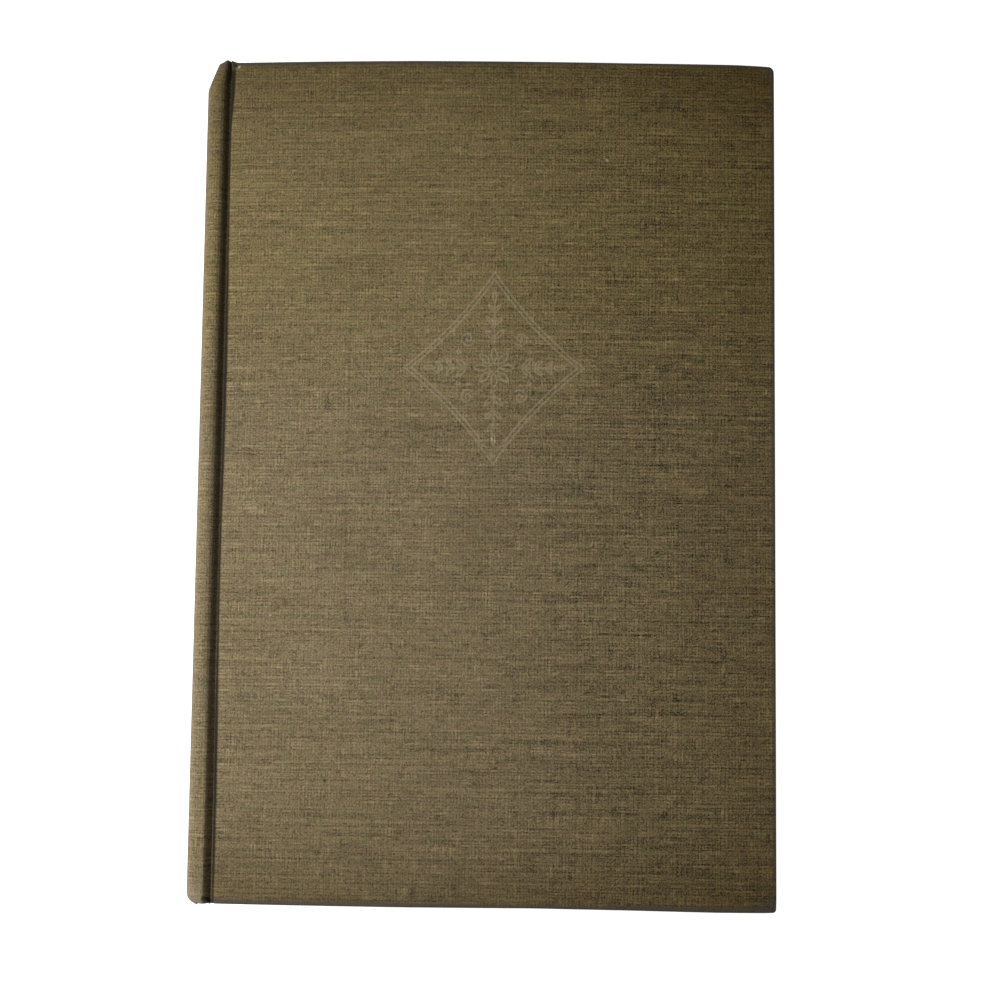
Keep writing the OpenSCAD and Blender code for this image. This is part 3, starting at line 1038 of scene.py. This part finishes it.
def stamp(piece):
    """Presses the ornament into the face of the front cover."""
    spots = stamped_points()
    refine(piece, spots, 2 * line_half, 3, middle_z + face_z - cloth_t)
    at = mesh_points(piece)
    low, high = spots.min(0) - hem_w, spots.max(0) + hem_w
    held = (at[:, 2] > middle_z + face_z - cloth_t) & ((at[:, :2] > low) & (at[:, :2] < high)).all(-1)
    tree = spot_tree(spots)
    gap = np.full(len(at), 1.0)
    gap[held] = [tree.find((x, y, 0))[2] for x, y in at[held, :2]]
    at[:, 2] -= line_depth * hump(gap, line_half)
    move_points(piece, at)
    paint(piece, "stamp", ramp(gap, line_reach, -line_fade))


# The soil and painted shade on the cloth: pale and dark specks on the front cover, each a short stroke
# given in mm from the middle of the book, dirt in the joint with painted shade where it is deep, grey
# rubbing along the edges,
# and darkening towards the edges: the toning that years of light and handling have left, with painted
# shade for the lamp's light falling away from the left.
pale_specks = (((2.7, 10.2), (3.5, 9.4)), ((34.0, 89.3), (34.4, 89.1)), ((-57.9, -39.1), (-57.8, -39.4)),
               ((-70.6, 116.3), (-70.4, 116.6)))
dark_specks = (((48.3, -21.2), (48.8, -21.0)), ((-41.9, -84.0), (-41.8, -84.2)),
               ((-72.0, 116.8), (-71.3, 116.9)))
pale_w = 0.24 * mm
dark_w = 0.3 * mm
# The band of dirt and painted shade in the joint.
shade_dirt_tail_w = 0.35 * mm
shade_dirt_widening = 1.75 * mm
shade_dirt_past_board = 1.05 * mm
shade_dirt_narrowing = 0.3 * mm
shade_dirt_head_w = 0.7 * mm
shade_dirt_head_y = 98 * mm
wander_x = 0.25 * mm
wander_y = 30 * mm
wander_length = 120 * mm
rub_w = 1.35 * mm
rub_fade = 0.9 * mm
corner_rub_r = 4 * mm
cap_rub_w = 2.2 * mm
# The width of the dark line of dirt and painted shade along the fold at the tail of the joint.
fold_shade_dirt_w = 0.42 * mm
# Darkening towards the ends, the fore-edge, its corners and the head of the spine: toning of the cloth,
# and painted shade for the lamp's light falling away from the left.
head_tone_shade_w = 19 * mm
tail_tone_shade_w = 16 * mm
end_tone_shade_share = 0.63
fore_tone_shade_w = 90 * mm
fore_tone_shade_share = 0.55
corner_tone_shade_r = 25 * mm
head_corner_tone_shade = 0.29
tail_corner_tone_shade = 0.16
spine_tone_shade_share = 0.5
strain_x = board_x + 1.5 * mm
strain_w = 2.4 * mm


def speck_share(at, specks, width):
    gap = np.min([gap_to_line(at, np.array(a) * mm, np.array(b) * mm) for a, b in specks], axis=0)
    return np.clip(1.6 - gap / width, 0, 1)


def joint_dirt_and_shade(x, y):
    """Dirt and painted shade in the joint: a dark band that narrows towards the tail and wanders along the
    edge of the board.
    """
    to_head = (y + half_h) / (2 * half_h)
    wander = wander_x * np.cos(2 * math.pi * (y - wander_y) / wander_length)
    left = board_x - shade_dirt_tail_w - shade_dirt_widening * ramp(to_head, 0, 0.6)
    right = board_x + shade_dirt_past_board - shade_dirt_narrowing * to_head + wander
    right += shade_dirt_head_w * ramp(y, shade_dirt_head_y, 12 * mm)
    band = ramp(x, left, 1.1 * mm) * ramp(x, right, -0.35 * mm)
    band *= 0.5 + 0.5 * ramp(x, board_x - 0.5 * mm, 0.5 * mm)
    return band * (1 - 0.6 * ramp(y, half_h - 2.5 * mm, 2 * mm))


def paint_wear_and_shade(piece, flat_cover):
    """Paints what the finish of the cloth reads: rubbing, dirt with painted shade in the joint, toning
    with painted shade towards the edges, how strongly the painted shade of the weave shows, how mellow and
    strained the threads look, and the specks."""
    at = mesh_points(piece)
    x, y, z = at.T
    on_top = ramp(np.abs(z - middle_z), 8 * mm, 3 * mm)
    fore_gap = board_x + cover_w - x
    end_gap = half_h - np.abs(y)
    corner_gap = np.hypot(fore_gap, end_gap)
    on_spine = ramp(x, board_x, -2 * mm)
    edge_rub = ramp(np.minimum(fore_gap, end_gap), rub_w, -rub_fade) * (1 - 0.5 * on_spine)
    corner_rub = 0.7 * hump(corner_gap, corner_rub_r)
    cap_rub = 0.3 * hump(end_gap, cap_rub_w) * on_spine * (y > 0)
    paint(piece, "rub", np.clip(edge_rub + corner_rub + cap_rub, 0, 1))
    # Dirt in the joint and along the fold at its tail, with painted shade where the joint is deep and
    # where the fold splits.
    fold = ramp(gap_to_line(at, *joint_fold), fold_shade_dirt_w, -fold_shade_dirt_w) * (not flat_cover)
    paint(piece, "dirt_and_shade", np.clip(joint_dirt_and_shade(x, y) * on_top + 1.6 * fold, 0, 1))
    # Toning and painted shade: darker towards the ends, the fore-edge and its corners, and up the spine
    # towards its head.
    end_tone_shade = np.exp(-np.maximum(end_gap, 0) / np.where(y > 0, head_tone_shade_w, tail_tone_shade_w))
    end_tone_shade *= 1 - 0.65 * on_spine * (y < 0)
    spine_tone_shade = spine_tone_shade_share * (y + half_h) / (2 * half_h) * ramp(x, roll_x, case_x - roll_x)
    spine_tone_shade *= ramp(y, knock_y, -8 * mm)
    fore_tone_shade = ramp(fore_gap, fore_tone_shade_w, -fore_tone_shade_w)
    corner_tone_shade_share = np.where(y > 0, head_corner_tone_shade, tail_corner_tone_shade)
    corner_tone_shade = corner_tone_shade_share * np.exp(-corner_gap / corner_tone_shade_r)
    clean = (1 - end_tone_shade_share * end_tone_shade) * (1 - fore_tone_shade_share * fore_tone_shade) * (1 - spine_tone_shade)
    paint(piece, "toning_and_shade", np.clip(1 - clean + corner_tone_shade, 0, 1))
    # How strongly the painted shade of the weave shows: stronger towards the fore-edge, where the lamp's
    # light grazes.
    paint(piece, "texture_shade_strength", 0.92 + 0.46 * ramp(fore_gap, 85 * mm, -50 * mm))
    paint(piece, "mellow", 0.5 * smooth_ramp(y, 5 * mm, 55 * mm) + 0.2 * fore_tone_shade)
    paint(piece, "strain", hump(x - strain_x, strain_w))
    upper = (z > middle_z + face_z - cloth_t) & (not flat_cover)
    tail_cap = 0.25 * hump(end_gap, 5 * mm) * ramp(x, groove_x, -2 * mm) * (y < 0)
    paint(piece, "pale", np.clip(speck_share(at, pale_specks, pale_w) * upper + tail_cap, 0, 1))
    paint(piece, "dark", speck_share(at, dark_specks, dark_w) * upper)


# The cloth itself: two sets of unevenly spun threads, a coarse weft and a warp, filled with starch, dyed
# an olive brown that has gone warmer and greener in patches.
thread_pitch = 0.88 * mm
thread_drift = 0.7
thread_bunching = 2.2
thread_round = 3.2
thread_apart = 7.31
weft_streak = 5 * mm
warp_streak = 3 * mm
weave_depth = 0.09 * mm

cloth_dark = (0.183, 0.139, 0.072, 1)
cloth_light = (0.212, 0.163, 0.089, 1)
cloth_warm = (0.215, 0.148, 0.085, 1)
cloth_green = (0.178, 0.158, 0.072, 1)
cloth_pore = (0.05, 0.035, 0.012, 1)
mellow_tint = (0.98, 0.96, 0.62, 1)
# A tint for the toning and the painted shade towards the edges.
toning_and_shade_tint = (0.38, 0.33, 0.17, 1)
rubbed_grey = (0.070, 0.060, 0.050, 1)
# The brown of dirt and painted shade in the deep joint.
joint_dirt_and_shade_brown = (0.010, 0.007, 0.002, 1)
stamped_pale = (0.42, 0.35, 0.22, 1)
speck_pale = (0.46, 0.41, 0.31, 1)
speck_dark = (0.012, 0.010, 0.006, 1)


def thread_set(cloth, across, along, streak, seed):
    """One set of threads, unevenly spun and spaced. How high the thread stands, and how light it is
    along its length, both from 0 to 1."""
    bent = cloth.add("ShaderNodeCombineXYZ", {0: across, 1: along, 2: seed}).outputs[0]
    spaced = cloth.add("ShaderNodeCombineXYZ", {0: across, 2: seed}).outputs[0]
    shift = cloth.math("ADD", cloth.math("MULTIPLY", cloth.noise(bent, 6 * mm, 1.0), thread_drift),
                       cloth.math("MULTIPLY", cloth.noise(spaced, 2.4 * mm, 1.0), thread_bunching))
    count = cloth.math("ADD", cloth.math("DIVIDE", across, thread_pitch), shift)
    off = cloth.math("SUBTRACT", cloth.math("FRACT", count), 0.5)
    fall = cloth.math("MULTIPLY", cloth.math("MULTIPLY", off, off), thread_round)
    crown = cloth.math("SUBTRACT", 1.0, fall)
    spread = cloth.math("MULTIPLY", cloth.math("FLOOR", count), thread_apart)
    run = cloth.math("DIVIDE", along, streak)
    place = cloth.add("ShaderNodeCombineXYZ", {0: run, 1: spread, 2: seed}).outputs[0]
    level = cloth.noise(place, 1.0, 2.5, 0.65)
    return crown, cloth.between(level, 0.3, 0.7)


def cloth_finish():
    cloth = Finish("olive_book_cloth")
    flat = cloth.cloth_place()
    x, y = cloth.add("ShaderNodeSeparateXYZ", {0: flat}).outputs[:2]
    weft, weft_tone = thread_set(cloth, y, x, weft_streak, 3.0)
    warp, warp_tone = thread_set(cloth, x, y, warp_streak, 11.0)
    patches = cloth.noise(cloth.stretch(flat, (1, 1.6, 1)), 6 * mm, 2.0, 0.6)
    patches = cloth.between(patches, 0.35, 0.65, 0.3, 0.8)
    weft_share = cloth.math("MAXIMUM", patches, cloth.painted("strain"))
    warp_share = cloth.math("SUBTRACT", 1.0, weft_share)
    weft_height = cloth.math("MULTIPLY", weft, cloth.math("ADD", weft_tone, 0.2))
    warp_height = cloth.math("MULTIPLY", warp, cloth.math("ADD", warp_tone, 0.2))
    weave = cloth.math("ADD", cloth.math("MULTIPLY", weft_height, cloth.math("ADD", weft_share, 0.2)),
                       cloth.math("MULTIPLY", warp_height, cloth.math("ADD", warp_share, 0.2)))
    filled = cloth.between(cloth.noise(flat, 4.5 * mm, 2.0, 0.6), 0.4, 0.62, 0.35, 1.0)
    slubs = cloth.noise(cloth.stretch(flat, (0.03, 1, 1)), 0.9 * mm, 1.5, 0.6)
    bands = cloth.noise(cloth.stretch(flat, (0.09, 1, 1)), 3.4 * mm, 2.0, 0.55)
    grain = cloth.noise(flat, 0.4 * mm, 0.0)
    # Painted shade of the weave's relief: the raised crowns of the threads lighter and the hollows between
    # them darker, over the threads' own uneven colour, slubs and grain.
    shade = cloth.math("MULTIPLY", cloth.between(weave, 0.25, 1.25, -0.52, 0.64), filled)
    for pattern, dark, light in ((slubs, -0.16, 0.26), (bands, -0.06, 0.06), (grain, -0.36, 0.36)):
        shade = cloth.math("ADD", shade, cloth.between(pattern, 0.3, 0.7, dark, light))
    shade = cloth.math("ADD", cloth.math("MULTIPLY", shade, cloth.painted("texture_shade_strength")), 1.0)
    place = cloth.place()
    mottle = cloth.noise(place, 26 * mm, 4.0, 0.6)
    tone = cloth.blend(cloth.between(mottle, 0.3, 0.7), cloth_dark, cloth_light)
    warm = cloth.between(cloth.noise(place, 5 * mm, 2.0), 0.45, 0.75, 0.0, 0.5)
    tone = cloth.blend(warm, tone, cloth_warm)
    green = cloth.between(cloth.noise(cloth.stretch(place, (1, 1.7, 1)), 4 * mm, 1.0), 0.5, 0.75, 0.0, 0.6)
    tone = cloth.blend(green, tone, cloth_green)
    grey = cloth.add("ShaderNodeCombineColor", {0: shade, 1: shade, 2: shade}).outputs[0]
    tone = cloth.blend(1.0, tone, grey, "MULTIPLY")
    pores = cloth.between(cloth.noise(flat, 0.8 * mm, 0.0), 0.27, 0.34, 0.55, 0.0)
    tone = cloth.blend(pores, tone, cloth_pore)
    # The second tint darkens the toning and the painted shade towards the edges.
    for name, tint in (("mellow", mellow_tint), ("toning_and_shade", toning_and_shade_tint)):
        tone = cloth.blend(cloth.painted(name), tone, tint, "MULTIPLY")
    rubbed = cloth.math("MULTIPLY", cloth.painted("rub"), cloth.between(grain, 0.3, 0.6, 0.4, 1.0))
    tone = cloth.blend(cloth.math("MULTIPLY", rubbed, 0.85), tone, rubbed_grey)
    # The first of these is dirt with painted shade of the deep joint. The stamp and the specks are the
    # cloth's own marks.
    for name, share, colour in (("dirt_and_shade", 0.97, joint_dirt_and_shade_brown), ("stamp", 0.4, stamped_pale),
                                ("pale", 0.8, speck_pale), ("dark", 0.85, speck_dark)):
        tone = cloth.colour_laid_over(name, share, tone, colour)
    cloth.put(cloth.shader.inputs["Sheen Weight"], 0.08)
    cloth.put(cloth.shader.inputs["Sheen Roughness"], 0.5)
    return cloth.coat(tone, 0.82, cloth.bump(weave, weave_depth), specular=0.2)


def bend_at_joint(piece, body):
    """Bakes the piece's placement into its mesh, the same way for either cover; the piece is not bent at
    the joint."""
    if body == "front_cover":
        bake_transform(piece)
    else:
        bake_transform(piece)


olive_cloth = cloth_finish()
near_end = np.array([0, 0.9, 2.0, 3.4]) * mm
end_row = half_h - hem_w
even_row = end_row - 5.2 * mm
cloth_rows = np.concatenate([near_end - end_row, np.linspace(-even_row, even_row, 100),
                             (end_row - near_end)[::-1]])
front_cloth = build_cloth("front_cover_cloth", True, front_warp, 1, cloth_rows)
back_cloth = build_cloth("back_cover_cloth", False, 0, -1, cloth_rows)
speck_spots = [np.array(spot) * mm for stroke in pale_specks + dark_specks for spot in stroke]
crease_spots = [(x, y) for x in np.arange(case_x, board_x + 3 * mm, mm)
                for y in np.arange(crease_y - 3 * mm, crease_y + 3 * mm, mm)]
fold_spots = np.linspace(*joint_fold, 9)
for spots, reach, rounds in (((bubble, bump), 2.6 * mm, 2), (speck_spots, 0.6 * mm, 3),
                             (crease_spots, 0.6 * mm, 3), (fold_spots, 0.5 * mm, 2)):
    refine(front_cloth, spots, reach, rounds, middle_z + 8 * mm)
for piece, replaced in ((front_cloth, ("front_cloth", "front_joint", "spine_cloth")),
                        (back_cloth, ("back_cloth", "back_joint"))):
    at = knocked(mesh_points(piece))
    move_points(piece, worn(at) if piece is front_cloth else at)
    thicken(piece, skin_t)
    paint_wear_and_shade(piece, piece is back_cloth)
    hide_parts(*replaced)
stamp(front_cloth)
paint(back_cloth, "stamp", np.zeros(len(back_cloth.data.vertices)))
for piece, body, up in ((front_cloth, "front_cover", 1), (back_cloth, "back_cover", -1)):
    bend_at_joint(piece, body)


# The spine strip. A strip of card between the cloth outside and the cloth turned in behind it. It
# keeps the spine of the case round, and went thin where the head was knocked in.
crushed_t = 0.3 * mm
crushed_run = 4 * mm
strip_end = half_h - cloth_t
strip_half_angle = roll_angle - math.radians(0.5)


def build_strip():
    angles = np.linspace(-strip_half_angle, strip_half_angle, spine_columns)
    ys = np.concatenate([np.linspace(-strip_end, knock_y - 3.3 * mm, 40),
                         np.linspace(knock_y - 1.3 * mm, strip_end, 8)])
    shells = []
    for inner in (False, True):
        shell = []
        for angle in angles:
            for y in ys:
                crushed = float(ramp(y, knock_y, crushed_run))
                depth = cloth_t + (strip_t + (crushed_t - strip_t) * crushed if inner else 0)
                radius = case_r - depth
                shell.append((round_x - radius * math.cos(angle), y, middle_z + radius * math.sin(angle)))
        shells += shell
    count = len(angles) * len(ys)
    index = np.arange(2 * count).reshape(2, len(angles), len(ys))
    tail, head = index[:, :, 0], index[:, ::-1, -1][:, 1:]
    front, back = index[:, -1, 1:], index[:, 0, ::-1][:, 1:]
    rim = np.concatenate([tail, front, head, back], 1)
    faces = np.concatenate([grid_faces(index[0])[:, ::-1], grid_faces(index[1]), grid_faces(rim)])
    strip = make_piece("crushed_spine_strip", knocked(np.array(shells)), faces, millboard)
    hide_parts("spine_strip")
    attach(strip, "book_block")


build_strip()


# The pastedowns. The other half of each endpaper, pasted to the inside of a cover over the turn-ins,
# which show through it as a low frame, and carried across the joint to the foot of the shoulder.
paper_t = 0.18 * mm
paper_z = inside_z - 0.2 * mm
sunk_t = cloth_t - 0.02 * mm
slope_w = 1.4 * mm
window_x = board_x + cover_w - turn_in_w
window_y = half_h - turn_in_w
first_x = board_x + 2 * mm


def build_pastedown(name, node, body, up, warp):
    low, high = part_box(node)
    steps = np.linspace(0, slope_w, 5)
    xs = np.unique(np.concatenate([np.linspace(low.x, first_x, 9), np.linspace(first_x, high.x, 84),
                                   window_x - steps]))
    ys = np.unique(np.concatenate([np.linspace(low.y, high.y, 120), window_y - steps, steps - window_y]))
    x, y = np.meshgrid(xs, ys, indexing="ij")
    inside = np.minimum(np.minimum(window_x - x, window_y - np.abs(y)), x - first_x)
    z = paper_z + smooth_ramp(inside, 0, slope_w) * sunk_t + warp_at(x, warp)
    points = np.stack([x, y, middle_z + up * z], -1).reshape(-1, 3)
    faces = grid_faces(np.arange(len(points)).reshape(x.shape))
    if up > 0:
        faces = faces[:, ::-1]
    sheet = make_piece(name, points, faces, old_endpaper)
    thicken(sheet, paper_t)
    paint_margin(sheet, low, high)
    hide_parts(node)
    bend_at_joint(sheet, body)


build_pastedown("front_paste_endpaper", "front_pastedown", "front_cover", 1, front_warp)
build_pastedown("back_paste_endpaper", "back_pastedown", "back_cover", -1, 0)


# The room: a white table under a soft lamp at the left, a weaker one opposite, and the camera
# straight above, a little towards the tail of the book.
floor_half = 3.0
floor_z = -0.02 * mm
table_glow = 0.85
room_light = 0.26
camera_place = (0.0181, -0.0567, 0.5399)
camera_turn = (5.611, 1.389, 0.650)
camera_lens = 66.67


def build_floor():
    corners = [(x * floor_half, y * floor_half, floor_z) for x, y in ((-1, -1), (1, -1), (1, 1), (-1, 1))]
    white = Finish("white_table")
    paths = white.add("ShaderNodeLightPath").outputs
    seen = white.math("MAXIMUM", paths["Is Camera Ray"], paths["Is Glossy Ray"])
    seen = white.math("MAXIMUM", seen, paths["Is Transmission Ray"])
    white.put(white.shader.inputs["Emission Color"], (1, 1, 1, 1))
    white.put(white.shader.inputs["Emission Strength"], white.math("MULTIPLY", seen, table_glow))
    table = white.coat((0.8, 0.8, 0.8, 1), 1.0, specular=0.0)
    floor = make_piece("floor", corners, [(0, 1, 2, 3)], table)


def build_lamp(name, place, aim, width, power):
    lamp = bpy.data.lights.new(name, "AREA")
    lamp.energy = power
    lamp.size = width
    holder = bpy.data.objects.new(name, lamp)
    holder.location = place
    holder.rotation_euler = (Vector(aim) - Vector(place)).to_track_quat("-Z", "Y").to_euler()
    holder.visible_camera = False
    bpy.context.scene.collection.objects.link(holder)


build_floor()
build_lamp("lamp_left", (-0.36, -0.03, 0.30), (-0.05, -0.03, 0.02), 0.14, 1.8)
build_lamp("card_right", (0.55, -0.25, 0.06), (0, 0, 0.02), 0.3, 0.7)

world = bpy.data.worlds.new("room")
world.use_nodes = True
backdrop = world.node_tree.nodes["Background"]
backdrop.inputs["Color"].default_value = (1, 1, 1, 1)
rays = world.node_tree.nodes.new("ShaderNodeLightPath")
shown = world.node_tree.nodes.new("ShaderNodeMapRange")
shown.inputs["To Min"].default_value = room_light
shown.inputs["To Max"].default_value = 1.0
world.node_tree.links.new(rays.outputs["Is Camera Ray"], shown.inputs["Value"])
world.node_tree.links.new(shown.outputs[0], backdrop.inputs["Strength"])
bpy.context.scene.world = world

camera = bpy.data.objects.new("camera", bpy.data.cameras.new("camera"))
camera.data.sensor_width = 36
camera.data.lens = camera_lens
camera.location = camera_place
camera.rotation_euler = [math.radians(angle) for angle in camera_turn]
bpy.context.scene.collection.objects.link(camera)
bpy.context.scene.camera = camera
bpy.context.scene.view_settings.view_transform = "Standard"
